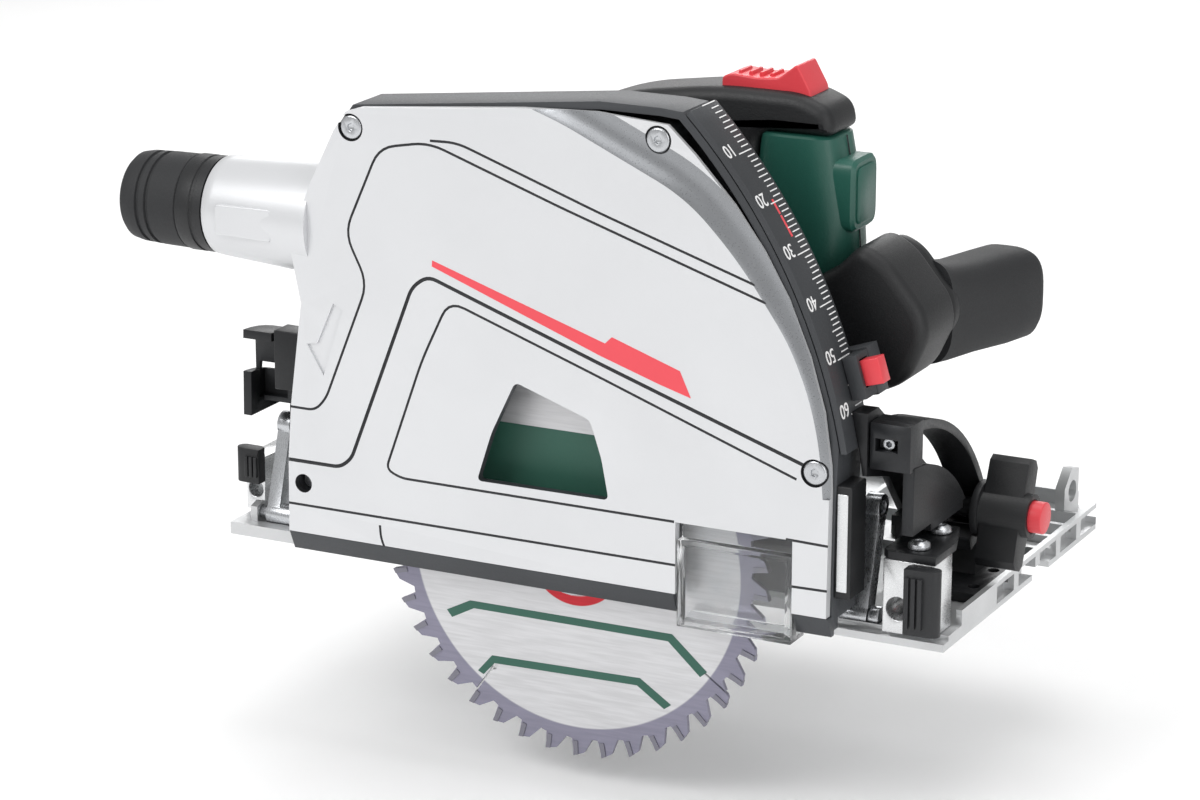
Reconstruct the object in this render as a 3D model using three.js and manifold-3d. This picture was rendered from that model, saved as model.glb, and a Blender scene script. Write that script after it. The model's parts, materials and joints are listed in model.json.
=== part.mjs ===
// Track plunge saw, at full plunge and square to the sole, as an assembly of separate pieces.
// Units are millimetres. +X is the cutting direction, +Z is up, and the motor lies on the +Y side.
// Pieces are drawn with the blade's plane at y = 0 and the sole at z = 0; the whole saw is then
// moved along Y, so that the origin lies on the sole.

import * as THREE from 'three';
import { mergeVertices } from 'three/addons/utils/BufferGeometryUtils.js';
import Module from 'manifold-3d';

const wasm = await Module();
wasm.setup();

// Driving dimensions.
const SOLE_SHIFT = 60;                // from the blade's plane to the origin on the sole
const BLADE_R = 82.5;
const CUT_DEPTH = 66;
const BLADE_Z = BLADE_R - CUT_DEPTH;  // height of the arbor above the sole
const BLADE_T = 1.8;
const TEETH = 42;
const PIVOT = [-112, 33.7];           // plunge pivot, x and z
const SCALE_R = 233.5;                // depth scale, about the plunge pivot
const GUARD_FRONT = -12;              // blade guard, y of the cover's back
const GUARD_BACK = 10;
const COVER_FACE = -16;
const WALL = 3;
const BASE_X = [-159, 151];
const BASE_Y = [4, 180];
const DECK = 5;
const SLOT_R = [70, 83.5];            // bevel slot, about the cut line
const ARC_R = 87;
const KNOB_ANGLE = 28;
const MODULE = 1;                     // gear module
const GEARS = { spindle: 25, idler: 28, pinion: 10 };
const MOTOR_R = 42;
const MOTOR_Y = [38.8, 150];
const HANDLE_Y = [46, 74];
const SPOUT = { x: [-161, -92], y: 4, z: 137 };
const GAP = 0.3;                      // between pieces that meet
const DEGREE = 180 / Math.PI;

const ARBOR = [0, BLADE_Z];
const IDLER = polar(ARBOR, MODULE * (GEARS.spindle + GEARS.idler) / 2, 75);
const ROTOR = polar(IDLER, MODULE * (GEARS.idler + GEARS.pinion) / 2, 70);
const KNOB = polar([0, 0], (SLOT_R[0] + SLOT_R[1]) / 2, KNOB_ANGLE);   // y and z

const FINISH = {
  silver: [0xd9dadb, 0.4, 0.3],
  anthracite: [0x2f3134, 0.5, 0.2],
  black: [0x141517, 0.6, 0],
  rubber: [0x1b1c1e, 0.9, 0],
  green: [0x1d4a40, 0.5, 0],
  red: [0xe2474f, 0.45, 0],
  casting: [0xc4c6c8, 0.5, 0.6],
  steel: [0x9a9da1, 0.35, 0.9],
  blade: [0xa9abb5, 0.3, 0.9],
  copper: [0x9c5a36, 0.5, 0.6],
  clear: [0xdfe5e8, 0.1, 0],
};

const saw = new THREE.Group();
saw.position.y = -SOLE_SHIFT;

function polar(centre, radius, degrees) {
  const a = THREE.MathUtils.degToRad(degrees);
  return [centre[0] + radius * Math.cos(a), centre[1] + radius * Math.sin(a)];
}

function arc(centre, radius, from, to, steps) {
  const points = [];
  for (let i = 0; i <= steps; i += 1) {
    points.push(polar(centre, radius, from + (to - from) * i / steps));
  }
  return points;
}

// A band between two radii, or a sector where the inner radius is 0.
function band(centre, inner, outer, from, to, steps) {
  const back = inner > 0 ? arc(centre, inner, to, from, steps) : [centre];
  return [...arc(centre, outer, from, to, steps), ...back];
}

// Moves each side of an outline inwards; the outline runs clockwise or anticlockwise.
function inset(points, distance) {
  const turn = Math.sign(THREE.ShapeUtils.area(points.map((p) => new THREE.Vector2(...p))));
  const sides = points.map((p, i) => {
    const q = points[(i + 1) % points.length];
    const length = Math.hypot(q[0] - p[0], q[1] - p[1]);
    const normal = [-(q[1] - p[1]) / length * turn, (q[0] - p[0]) / length * turn];
    return { normal, offset: normal[0] * p[0] + normal[1] * p[1] + distance };
  });
  return sides.map((side, i) => {
    const last = sides[(i + sides.length - 1) % sides.length];
    const det = last.normal[0] * side.normal[1] - last.normal[1] * side.normal[0];
    return [
      (last.offset * side.normal[1] - side.offset * last.normal[1]) / det,
      (last.normal[0] * side.offset - side.normal[0] * last.offset) / det,
    ];
  });
}

// A closed solid from a geometry: shared vertices, no empty triangles, faces out.
function solid(source) {
  const raw = source.clone();
  raw.deleteAttribute('normal');
  raw.deleteAttribute('uv');
  const merged = mergeVertices(raw, 1e-4);
  const all = merged.index.array;
  const kept = [];
  for (let i = 0; i < all.length; i += 3) {
    const [a, b, c] = [all[i], all[i + 1], all[i + 2]];
    if (a !== b && b !== c && c !== a) kept.push(a, b, c);
  }
  const place = merged.attributes.position.array;
  const corner = (v) => new THREE.Vector3().fromArray(place, 3 * v);
  let volume = 0;
  for (let i = 0; i < kept.length; i += 3) {
    volume += corner(kept[i]).dot(corner(kept[i + 1]).cross(corner(kept[i + 2])));
  }
  if (volume < 0) kept.reverse();
  const mesh = { numProp: 3, vertProperties: new Float32Array(place), triVerts: new Uint32Array(kept) };
  return new wasm.Manifold(new wasm.Mesh(mesh));
}

function join(...pieces) {
  return pieces.reduce((all, piece) => all.add(piece));
}

function cut(body, ...tools) {
  return tools.reduce((left, tool) => left.subtract(tool), body);
}

// Adds a piece to the saw under its name.
function piece(name, body, finish) {
  const mesh = body.getMesh();
  const geometry = new THREE.BufferGeometry();
  geometry.setAttribute('position', new THREE.BufferAttribute(new Float32Array(mesh.vertProperties), 3));
  geometry.setIndex(new THREE.BufferAttribute(new Uint32Array(mesh.triVerts), 1));
  geometry.computeVertexNormals();
  const [color, roughness, metalness] = FINISH[finish];
  const clear = finish === 'clear' ? { transparent: true, opacity: 0.35 } : {};
  const material = new THREE.MeshStandardMaterial({ color, roughness, metalness, ...clear });
  const node = new THREE.Mesh(geometry, material);
  node.name = name;
  saw.add(node);
}

// An outline extruded along an axis. For y it is drawn in x and z, for x in y and z, for z in x and y.
function plate(axis, outline, from, to, edge = 0) {
  const shape = new THREE.Shape(outline.map((p) => new THREE.Vector2(...p)));
  const geometry = new THREE.ExtrudeGeometry(shape, {
    depth: to - from - 2 * edge,
    bevelEnabled: edge > 0,
    bevelThickness: edge,
    bevelSize: edge,
    bevelOffset: -edge,
    bevelSegments: 2,
    steps: 1,
  });
  if (axis === 'z') geometry.translate(0, 0, from + edge);
  if (axis === 'y') {
    geometry.rotateX(Math.PI / 2);
    geometry.translate(0, to - edge, 0);
  }
  if (axis === 'x') {
    geometry.applyMatrix4(new THREE.Matrix4().set(0, 0, 1, from + edge, 1, 0, 0, 0, 0, 1, 0, 0, 0, 0, 0, 1));
  }
  return solid(geometry);
}

function box(x, y, z) {
  const geometry = new THREE.BoxGeometry(x[1] - x[0], y[1] - y[0], z[1] - z[0]);
  geometry.translate((x[0] + x[1]) / 2, (y[0] + y[1]) / 2, (z[0] + z[1]) / 2);
  return solid(geometry);
}

// A body turned about an axis through the given centre; the profile is [radius, station] pairs.
function turned(axis, centre, profile, sides = 24) {
  const closed = profile[0][0] > 0 ? [...profile, profile[0]] : profile;
  const geometry = new THREE.LatheGeometry(closed.map((p) => new THREE.Vector2(...p)), sides);
  if (axis === 'x') {
    geometry.rotateZ(-Math.PI / 2);
    geometry.translate(0, centre[0], centre[1]);
  }
  if (axis === 'y') geometry.translate(centre[0], 0, centre[1]);
  if (axis === 'z') {
    geometry.rotateX(Math.PI / 2);
    geometry.translate(centre[0], centre[1], 0);
  }
  return solid(geometry);
}

function rod(axis, centre, radius, from, to, sides = 24) {
  return turned(axis, centre, [[0, from], [radius, from], [radius, to], [0, to]], sides);
}

function ring(axis, centre, inner, outer, from, to, sides = 24) {
  return turned(axis, centre, [[inner, from], [outer, from], [outer, to], [inner, to]], sides);
}

function gear(centre, teeth, phase, from, to) {
  const pitch = MODULE * teeth / 2;
  const outline = [];
  for (let i = 0; i < teeth; i += 1) {
    const middle = phase + 360 * i / teeth;
    const step = 360 / teeth;
    outline.push(polar(centre, pitch - 1.2, middle - 0.27 * step));
    outline.push(polar(centre, pitch + 0.8, middle - 0.1 * step));
    outline.push(polar(centre, pitch + 0.8, middle + 0.1 * step));
    outline.push(polar(centre, pitch - 1.2, middle + 0.27 * step));
  }
  return plate('y', outline, from, to);
}

// ---------------------------------------------------------------- base plate

const RAIL = { y: [96, 114], depth: 4.6 };
const LINK = { front: [14, 6], rear: [14, 8] };   // lower link pivots, y and z
const LUG_X = { front: [100.5, 103.7], rear: [-152.6, -149.6] };
const [BX0, BX1] = BASE_X;
const [BY0, BY1] = BASE_Y;

function baseDeck() {
  const outline = [
    [BX0, BY0], [-123, BY0], [-123, BY0 + 10], [118, BY0 + 10], [118, BY0], [BX1, BY0],
    [BX1, BY1 - 12], [BX1 - 12, BY1], [BX0 + 12, BY1], [BX0, BY1 - 12],
  ];
  return plate('z', outline, 0, DECK);
}

function baseRibs() {
  const high = 11;
  const ribs = [
    box([BX1 - 2.4, BX1], [22, BY1 - 12], [1, high]),
    box([BX0, BX0 + 2.4], [50, BY1 - 12], [1, high]),
    box([BX0 + 12, BX1 - 12], [BY1 - 2.6, BY1], [1, high]),
    box([-140, 120], [86, 88.4], [1, high]),
    box([BX0 + 2, BX1 - 2], [RAIL.y[0] - 4, RAIL.y[1] + 4], [1, DECK + 3]),
    box([-140, 120], [124, 126.4], [1, high]),
  ];
  for (let y = 87; y < BY1 - 14; y += 16) {
    ribs.push(box([BX1 - 14, BX1 - 1], [y, y + 2.4], [1, high]));
  }
  for (let x = -120; x <= 110; x += 46) {
    ribs.push(box([x, x + 2.4], [126, BY1 - 1], [1, high]));
  }
  return ribs;
}

function cornerBracket() {
  const side = [[152, 5], [168, 5], [168, 25], [160, 27], [152, 20]];
  return cut(plate('x', side, 139, 143), rod('x', [161, 17], 4.5, 138, 144, 16));
}

const linkLugs = Object.keys(LINK).map((end) => {
  const [y, z] = LINK[end];
  const outline = [[y - 4.4, 2], [y - 4.4, z + 3], [y, z + 4.4], [y + 4.4, z + 3], [y + 4.4, 2]];
  return plate('x', outline, ...LUG_X[end]);
});
const gearOpening = box([-44, 46], [BY0 + 9, 47], [-1, DECK + 1]);
const railGroove = box([BX0 - 1, BX1 + 1], RAIL.y, [-1, RAIL.depth]);
const glideBeds = [[72, 84], [150, 162]].map((y) => box([-150, 90], y, [-1, 1.3]));
const footRelief = box([98.5, BX1 + 1], [BY0 - 1, BY0 + 5], [3, 6]);
const pinHole = (end) => rod('x', LINK[end], 2.9, LUG_X[end][0] - 1, LUG_X[end][1] + 1, 16);
const pinHoles = Object.keys(LINK).map(pinHole);
const frontFoot = box([98.5, 119], [BY0, BY0 + 12], [0, DECK]);
const linkWells = [rod('x', LINK.front, 4.9, 103.7, 122.4, 16), rod('x', LINK.rear, 4.9, -149.6, -130.2, 16)];
const adjusterHoles = [-118, 96].map((x) => rod('z', [x, 105], 3.4, 2, 20, 16));
const base = cut(
  join(baseDeck(), ...baseRibs(), cornerBracket(), frontFoot, ...linkLugs),
  gearOpening, railGroove, ...glideBeds, footRelief, ...pinHoles, ...adjusterHoles, ...linkWells,
);
piece('base_plate', base, 'casting');
piece('glide_strip_near', box([-149.7, 89.7], [72.3, 83.7], [0, 1]), 'black');
piece('glide_strip_far', box([-149.7, 89.7], [150.3, 161.7], [0, 1]), 'black');

function railAdjuster(x) {
  const profile = [[0, 5.2], [3, 5.2], [3, 8.4], [8, 8.4], [8, 15], [6.5, 16.5], [0, 16.5]];
  return cut(turned('z', [x, 105], profile, 24), box([x - 1, x + 1], [98, 112], [14.5, 18]));
}
piece('front_rail_adjuster', railAdjuster(96), 'black');
piece('rear_rail_adjuster', railAdjuster(-118), 'black');

// ---------------------------------------------------------------- bevel segments

// y and z outline of a segment's inner plate, from the shelf up to the lower side of the slot.
function segmentFace(low) {
  return [[2, low], ...arc([0, 0], SLOT_R[0], THREE.MathUtils.radToDeg(Math.asin(low / SLOT_R[0])), 88, 14)];
}

function slotBands(from, to) {
  return plate('x', band([0, 0], SLOT_R[1], ARC_R, 20, 88, 18), from, to);
}

const slotPath = (from, to) => plate('x', band([0, 0], ...SLOT_R, KNOB_ANGLE - 4, 79, 16), from, to);
const segmentEnd = (from, to) => plate('x', band([0, 0], SLOT_R[0] - 4, ARC_R, 18, 23, 3), from, to);
const frontSegment = cut(
  join(
    slotBands(124, 138),
    plate('x', segmentFace(44), 134, 138.5),
    box([122, 138], [-1, 11], [69, 86.8]),
    box([122.5, 138.4], [20, 52], [41, 45]),
    box([122.5, 126.5], [24, 84], [DECK + GAP, 44]),
    segmentEnd(122.5, 138),
    box([122.5, 138], [68, 84], [DECK + GAP, 30]),
    box([122.5, 147], [46, 84], [DECK + GAP, 9]),
  ),
  box([124, 133], [-2, 4], [76, 81]),
  rod('y', [128.5, 78.5], 2.6, 3, 13, 16),
  rod('x', KNOB, 6.7, 120, 140, 24), slotPath(120, 140),
  rod('z', [142.5, 55], 2.4, 0, 12, 12),
  rod('z', [142.5, 76], 2.4, 0, 12, 12),
);
piece('front_bevel_segment', frontSegment, 'black');
const screwProfile = [[0, -0.2], [3.4, -0.2], [3.4, 3], [2.2, 3.4], [2.2, 14], [0, 14]];
const hexSocket = (centre, radius, from, to) => rod('y', centre, radius, from, to, 6);
piece('bevel_stop_screw', cut(
  turned('y', [128.5, 78.5], screwProfile.map(([r, y]) => [Math.min(r, 2.3), y + 1.5]), 12),
  hexSocket([128.5, 78.5], 1.3, 0, 5),
), 'steel');

const rearSegment = cut(
  join(
    slotBands(-150, -137),
    plate('x', segmentFace(52), -150, -146.4),
    box([-150, -133.5], [12, 16], [56, 85]),
    box([-150, -146.4], [44, 84], [DECK + GAP, 54]),
    segmentEnd(-150, -137),
    box([-150, -137], [66, 84], [DECK + GAP, 30]),
  ),
  rod('x', KNOB, 6.7, -152, -130, 24), slotPath(-152, -130),
  box([-148, -135.5], [9, 15.5], [58, 72]),
);
piece('rear_bevel_segment', rearSegment, 'black');

// ---------------------------------------------------------------- fence clamps

// The front block stands clear of the segment's foot behind it.
const FENCE = {
  front: { x: [127, 147.6], y: [2, 19.4], z: [DECK + GAP, 34], bore: [133, 15], r: 4.6 },
  rear: { x: [-162, -153.2], y: [22, 46], z: [DECK + GAP, 28], bore: [-157.6, 14], r: 3.4 },
};

function fenceBlock({ x, y, z, bore, r }, ...extra) {
  return cut(box(x, y, z), rod('y', bore, r, y[0] - 1, y[1] + 1, 24), ...extra);
}

const plateScrews = [10, 31].map((y) => [138, y]);
piece('front_fence_block', fenceBlock(FENCE.front, rod('z', plateScrews[0], 2.4, 24, 40, 12)), 'silver');
piece('front_fence_plate', cut(
  plate('z', [[126.5, 4], [129, 1.5], [148, 1.5], [148, 22], [142, 40], [129, 40], [126.5, 38]], 34.3, 37.3),
  rod('z', plateScrews[0], 2.4, 30, 40, 12), rod('z', plateScrews[1], 2.4, 30, 40, 12),
), 'black');

function panScrew(at, base_z, low) {
  const profile = [[0, low], [2, low], [2, base_z], [4.4, base_z], [4.1, base_z + 1.8], [2.4, base_z + 2.8],
    [0, base_z + 2.8]];
  return cut(turned('z', at, profile, 16), rod('z', at, 1.5, base_z + 1.2, base_z + 4, 6));
}
piece('front_fence_screw_near', panScrew(plateScrews[0], 37.5, 26), 'steel');
piece('front_fence_screw_far', panScrew(plateScrews[1], 37.5, 33), 'steel');
piece('rear_fence_block', fenceBlock(FENCE.rear), 'silver');

// A clamp lever turns about an upright pin at its outer end.
function clampLever(pin, reach, z) {
  const towards = Math.sign(reach);
  const [x, y] = pin;
  const tip = x + reach;
  const outline = [[x, y - 3], [tip, y - 3.4], [tip, y + 1.6], [tip - 2 * towards, y + 2.9], [x, y + 3]];
  const lever = join(plate('z', outline, z[0], z[1]), rod('z', pin, 3, z[0], z[1], 20));
  const ribs = [0.35, 0.6, 0.85].map((k) => box(
    [x + k * reach - 0.8, x + k * reach + 0.8], [y - 4.6, y - 3], [z[0] + 3, z[1] - 3],
  ));
  return join(lever, ...ribs);
}
const LEVER = { front: [148.6, -1.6], rear: [-160.2, 18.4] };
piece('front_fence_lever', clampLever(LEVER.front, -10.5, [8, 33.6]), 'black');
piece('rear_fence_lever', clampLever(LEVER.rear, 8.4, [18.5, 33]), 'black');

// ---------------------------------------------------------------- links

const LINK_TOP = { front: [25, 46], rear: [25, 43] };

function link(low, high, barrel, blade) {
  const across = Math.atan2(high[0] - low[0], high[1] - low[1]);
  const half = 3.6;
  const dy = half * Math.cos(across);
  const dz = -half * Math.sin(across);
  const sides = [
    [low[0] - dy, low[1] - dz], [high[0] - dy, high[1] - dz],
    [high[0] + dy, high[1] + dz], [low[0] + dy, low[1] + dz],
  ];
  const bar = plate('x', sides, ...blade);
  const eye = rod('x', high, 5, ...blade, 20);
  return cut(
    join(bar, eye, rod('x', low, 4.5, ...barrel, 24)),
    rod('x', low, 3.2, barrel[0] - 1, barrel[1] + 1, 24),
    rod('x', high, 2.6, blade[0] - 1, blade[1] + 1, 16),
  );
}
const linkPin = (at, from, to, head) => join(rod('x', at, 2.7, from, to, 20), rod('x', at, 4.2, ...head, 20));
piece('front_link', link(LINK.front, LINK_TOP.front, [104, 117.3], [111, 117.3]), 'steel');
piece('rear_link', link(LINK.rear, LINK_TOP.rear, [-145.8, -133.4], [-145.8, -140]), 'steel');
piece('front_link_pin', linkPin(LINK.front, 100, 119, [117.8, 122]), 'steel');
piece('rear_link_pin', linkPin(LINK.rear, -153, -132, [-133, -130.5]), 'steel');

// ---------------------------------------------------------------- blade guard

// Rim outline in x and z, from the rear foot over the top to the front foot.
const SCALE = { from: 10.6, to: 45, thick: 2.6 };
const rimRear = [
  [-119, 11], [-118.6, 43], [-117, 65], [-111.5, 107], [-116.4, 129], [-116.3, 134],
  [-106, 157], [-95.5, 178], [-89, 187], [-50, 191.5], [-7, 196], [16, 198.6], [41, 198.6],
];
const rimFront = [[114.2, 78], [113.4, 60], [112.6, 11]];
const rimArc = arc(PIVOT, SCALE_R - SCALE.thick - GAP, 45.4, 12.2, 18);
const rim = [...rimRear, ...rimArc, ...rimFront];

function guardInside() {
  const inner = inset(rim, WALL);
  inner[0] = [inner[0][0], 0];
  inner[inner.length - 1] = [inner[inner.length - 1][0], 0];
  return plate('y', inner, GUARD_FRONT - 6, GUARD_BACK - WALL);
}

// The neck of the gear case travels along this slot as the saw plunges.
const NECK_R = 15.6;
const TRAVEL = Math.hypot(PIVOT[0], PIVOT[1] - BLADE_Z);
const neckSlot = join(
  plate('y', band(PIVOT, TRAVEL - NECK_R - 2, TRAVEL + NECK_R + 2, -22, 27, 20), 4, 14),
  rod('y', polar(PIVOT, TRAVEL, 27), NECK_R + 2, 4, 14),
);
const skirtProfile = [[COVER_FACE + 0.3, 13], [GUARD_FRONT, 5], [-9.5, 5], [-9.5, 13]];
const skirt = (from, to) => plate('x', skirtProfile, from, to);
const skirtBridge = (x) => box([x, x + WALL], [-11, -6], [7, 16]);
const SPOUT_HOLE = rod('x', [-1, SPOUT.z + 4], 8, -125, -80, 24);
const SCREWS = { rear: [-88, 179], top: [41, 187], front: [106.3, 69] };
const boss = ([x, z]) => rod('y', [x, z], 4.6, GUARD_FRONT, GUARD_BACK - 1, 16);
const screwHole = ([x, z]) => rod('y', [x, z], 2.3, COVER_FACE - 2, 2, 16);
const guard = cut(
  join(
    cut(plate('y', rim, GUARD_FRONT, GUARD_BACK), guardInside(), neckSlot),
    skirt(-119, 49), skirt(98.5, 112.6), skirtBridge(-118.9), skirtBridge(109.6),
    box([47, 49], [-12, -9.5], [5, 40]), box([-117, 49], [-12, -9.5], [10, 14]),
    ...Object.values(SCREWS).map(boss),
  ),
  rod('y', PIVOT, 3.5, GUARD_FRONT - 1, GUARD_BACK + 1, 20), SPOUT_HOLE,
  box([49, 98.4], [-13, -2], [4.9, 42]),
  ...Object.values(SCREWS).map(screwHole),
);
piece('guard_housing', guard, 'anthracite');

const cover = [
  [-119, 13.3], [-118.6, 43], [-117, 65], [-111.5, 107], [-116.4, 129], [-116.3, 133], [-106, 156],
  [-95.5, 177], [-90, 185], [-84, 187], [-15, 193.6], [16, 195], [45, 193], [72, 170], [94, 136],
  [106, 106], [111.6, 84], [112.4, 62], [112, 13.3], [98, 13.3], [98, 41.8], [50, 41.8], [50, 13.3],
];
const sight = [[-34.5, 46], [-28, 66], [-17.7, 87.5], [14.1, 77], [19, 62], [22, 46.5]];
piece('guard_cover', cut(
  plate('y', cover, COVER_FACE, GUARD_FRONT - GAP),
  plate('y', sight, COVER_FACE - 1, GUARD_FRONT + 1),
  rod('y', PIVOT, 4, COVER_FACE - 1, GUARD_FRONT + 1, 24),
  ...Object.values(SCREWS).map(screwHole),
  ...Object.values(SCREWS).map((at) => rod('y', at, 5.2, COVER_FACE - 1, COVER_FACE + 1.6, 20)),
), 'silver');

function coverScrew(at) {
  const face = COVER_FACE + 0.2;
  const under = face + 1.3;
  const profile = [[0, face], [4.2, face], [4.8, face + 0.6], [4.8, under], [2, under], [2, 0], [0, 0]];
  return cut(turned('y', at, profile, 20), hexSocket(at, 1.6, face - 1, face + 1));
}
for (const [where, at] of Object.entries(SCREWS)) piece(`cover_screw_${where}`, coverScrew(at), 'steel');

piece('depth_scale', plate(
  'y', band(PIVOT, SCALE_R - SCALE.thick, SCALE_R, SCALE.from, SCALE.to, 20), GUARD_FRONT, GUARD_BACK,
), 'anthracite');

// Clear chip window with a floor under the blade's edge; it lifts by hand.
const windowFrame = cut(
  box([50.5, 97.6], [-15.6, -11.2], [0.5, 35]), box([53, 95], [-17, -11.3], [3, 32.5]),
);
piece('sight_window', join(
  windowFrame, box([50.5, 97.6], [-11.6, -9.8], [0.5, 60]), box([50.5, 97.6], [-12, -3], [0.5, 2.3]),
), 'clear');

// ---------------------------------------------------------------- dust spout and nozzle

const spoutOutside = [[19.2, SPOUT.x[0]], [22, -130], [27, -108], [27, SPOUT.x[1]]];
const spoutInside = [[16, SPOUT.x[1] + 1], [16, SPOUT.x[0] - 1]];
const envelope = plate('y', inset(rim, -GAP), -60, GUARD_BACK + GAP);
const spoutBody = turned('x', [SPOUT.y, SPOUT.z], [[0, SPOUT.x[0]], ...spoutOutside, [0, SPOUT.x[1]]], 32);
const spoutEar = cut(
  plate('y', [[-117, 112], [-109, 104], [-113, 126], [-122, 126]], 11, 15),
  rod('y', [-114.5, 115], 2.4, 9, 17, 12),
);
const spoutTube = cut(
  spoutBody, envelope,
  turned('x', [SPOUT.y, SPOUT.z], [[0, SPOUT.x[0] - 1], [16, SPOUT.x[0] - 1], [16, -112], [0, -112]], 32),
);
piece('dust_spout', join(spoutTube, spoutEar), 'silver');
const nozzleX = [-200, SPOUT.x[0] - GAP];
piece('dust_nozzle', turned('x', [SPOUT.y, SPOUT.z], [
  [13.5, nozzleX[0] + 2], [15.5, nozzleX[0]], [17.2, nozzleX[0] + 1.5], [17.4, -187], [18.4, -177],
  [18.8, -176], [18.8, nozzleX[1]], [14.5, nozzleX[1]], [13.5, -180],
], 32), 'rubber');

// ---------------------------------------------------------------- bevel arms and knobs

const armOutline = [[8.5, 90], [-2, 90], [-2, 66], [20, 60], [44, 33], ...arc(KNOB, 9, 240, 400, 6)];
const frontArm = cut(
  join(
    plate('x', armOutline, 118, 121.2),
    box([115, 121.2], [-2, 8.5], [66, 90]),
  ),
  rod('x', KNOB, 4.4, 110, 125, 20), envelope,
  plate('y', band(PIVOT, SCALE_R - 8, SCALE_R + GAP, 0, 30, 12), -14, GUARD_BACK + GAP),
);
piece('front_bevel_arm', frontArm, 'black');
const rearArm = cut(
  join(
    plate('x', armOutline, -132.8, -129.6),
    box([-132.8, -119], [-2, 8.5], [66, 90]),
  ),
  rod('x', KNOB, 4.4, -140, -125, 20), envelope,
);
piece('rear_bevel_arm', rearArm, 'black');

function wing(angle) {
  const [y, z] = KNOB;
  const c = Math.cos(THREE.MathUtils.degToRad(angle));
  const s = Math.sin(THREE.MathUtils.degToRad(angle));
  const place = (u, v) => [y + u * c - v * s, z + u * s + v * c];
  const outline = [[5, -6], [19, -5], [21.5, -2], [21.5, 3], [19, 5.5], [5, 6]];
  return plate('x', outline.map(([u, v]) => place(u, v)), 142, 158);
}
piece('front_bevel_knob', cut(
  join(
    rod('x', KNOB, 4, 117.5, 142, 20), rod('x', KNOB, 11, 139, 141.6, 28), rod('x', KNOB, 8.6, 141, 161, 28),
    wing(68), wing(248),
  ),
  rod('x', KNOB, 6.6, 152, 163, 24),
), 'black');
piece('undercut_button', rod('x', KNOB, 6.2, 156, 166, 24), 'red');
piece('rear_bevel_knob', join(
  rod('x', KNOB, 4, -153, -129, 20), rod('x', KNOB, 10, -163, -150.6, 10),
), 'black');

// ---------------------------------------------------------------- depth stop

const STOP = 17;
piece('depth_stop', cut(
  join(
    plate('y', band(PIVOT, 218, 240, STOP - 2.4, STOP + 2, 4), GUARD_BACK + 0.4, 20),
    plate('y', band(PIVOT, SCALE_R + 0.5, 239.8, STOP - 2.2, STOP + 1.8, 4), 0, 12),
  ),
  plate('y', band(PIVOT, 235.8, 250, STOP - 1.3, STOP + 1.3, 3), 2, 9),
), 'anthracite');
piece('depth_stop_button', plate(
  'y', band(PIVOT, 239.2, 247, STOP - 1.15, STOP + 1.15, 3), 2.3, 8.7,
), 'red');

// ---------------------------------------------------------------- spindle and blade

function bladeOutline() {
  const points = [];
  const step = 360 / TEETH;
  for (let i = 0; i < TEETH; i += 1) {
    const tip = 192.49 + i * step;
    points.push(polar(ARBOR, BLADE_R, tip));
    points.push(polar(ARBOR, BLADE_R - 1.6, tip + 0.36 * step));
    points.push(polar(ARBOR, BLADE_R - 7.4, tip + 0.7 * step));
    points.push(polar(ARBOR, BLADE_R - 7, tip + 0.92 * step));
  }
  return points;
}

function expansionSlot(angle) {
  const inner = BLADE_R - 20;
  const slot = box([inner, BLADE_R + 2], [-3, 3], [-0.4, 0.4]);
  const hole = rod('y', [inner, 0], 1.6, -3, 3, 12);
  return join(slot, hole).rotate([0, -angle, 0]).translate([ARBOR[0], 0, ARBOR[1]]);
}
const slots = [0, 1, 2, 3].map((i) => expansionSlot(-35 + 90 * i));
piece('saw_blade', cut(
  plate('y', bladeOutline(), -BLADE_T / 2, BLADE_T / 2), rod('y', ARBOR, 8.3, -3, 3), ...slots,
), 'blade');
piece('outer_flange', ring('y', ARBOR, 3.3, 15.5, -4, -1.1), 'steel');
piece('inner_flange', ring('y', ARBOR, 8.3, 15.5, 1.1, 3.4), 'steel');
piece('blade_bolt', cut(
  turned('y', ARBOR, [[0, -9.1], [5, -9.1], [5, -4.2], [3, -4.2], [3, 12], [0, 12]], 20),
  hexSocket(ARBOR, 2.6, -11, -6.5),
), 'steel');
piece('spindle', cut(
  turned('y', ARBOR, [[0, -0.9], [8, -0.9], [8, 3.6], [6, 3.6], [6, 33], [0, 33]]),
  rod('y', ARBOR, 3.2, -3, 14, 20),
), 'steel');
piece('spindle_bearing', ring('y', ARBOR, 6.3, 12.3, 4.6, 12), 'steel');

// ---------------------------------------------------------------- gear train

const GEAR_Y = [18, 28];
const idlerAngle = 75;
const rotorAngle = 70;
const spindlePhase = idlerAngle;
const idlerPhase = 180 + idlerAngle + 180 / GEARS.idler;
const idlerTooth = (rotorAngle - idlerPhase) / (360 / GEARS.idler);
const rotorPhase = 180 + rotorAngle + (0.5 + idlerTooth) * (360 / GEARS.pinion);
piece('spindle_gear', cut(
  gear(ARBOR, GEARS.spindle, spindlePhase, ...GEAR_Y), rod('y', ARBOR, 6.3, 10, 40, 24),
), 'steel');
piece('idler_gear', join(
  gear(IDLER, GEARS.idler, idlerPhase, ...GEAR_Y), rod('y', IDLER, 3.5, 16.4, 37, 20),
), 'steel');
piece('rotor', join(
  gear(ROTOR, GEARS.pinion, rotorPhase, ...GEAR_Y), rod('y', ROTOR, 3.2, 16.4, 146, 20),
  rod('y', ROTOR, 17, 62, 110),
), 'steel');

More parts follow.
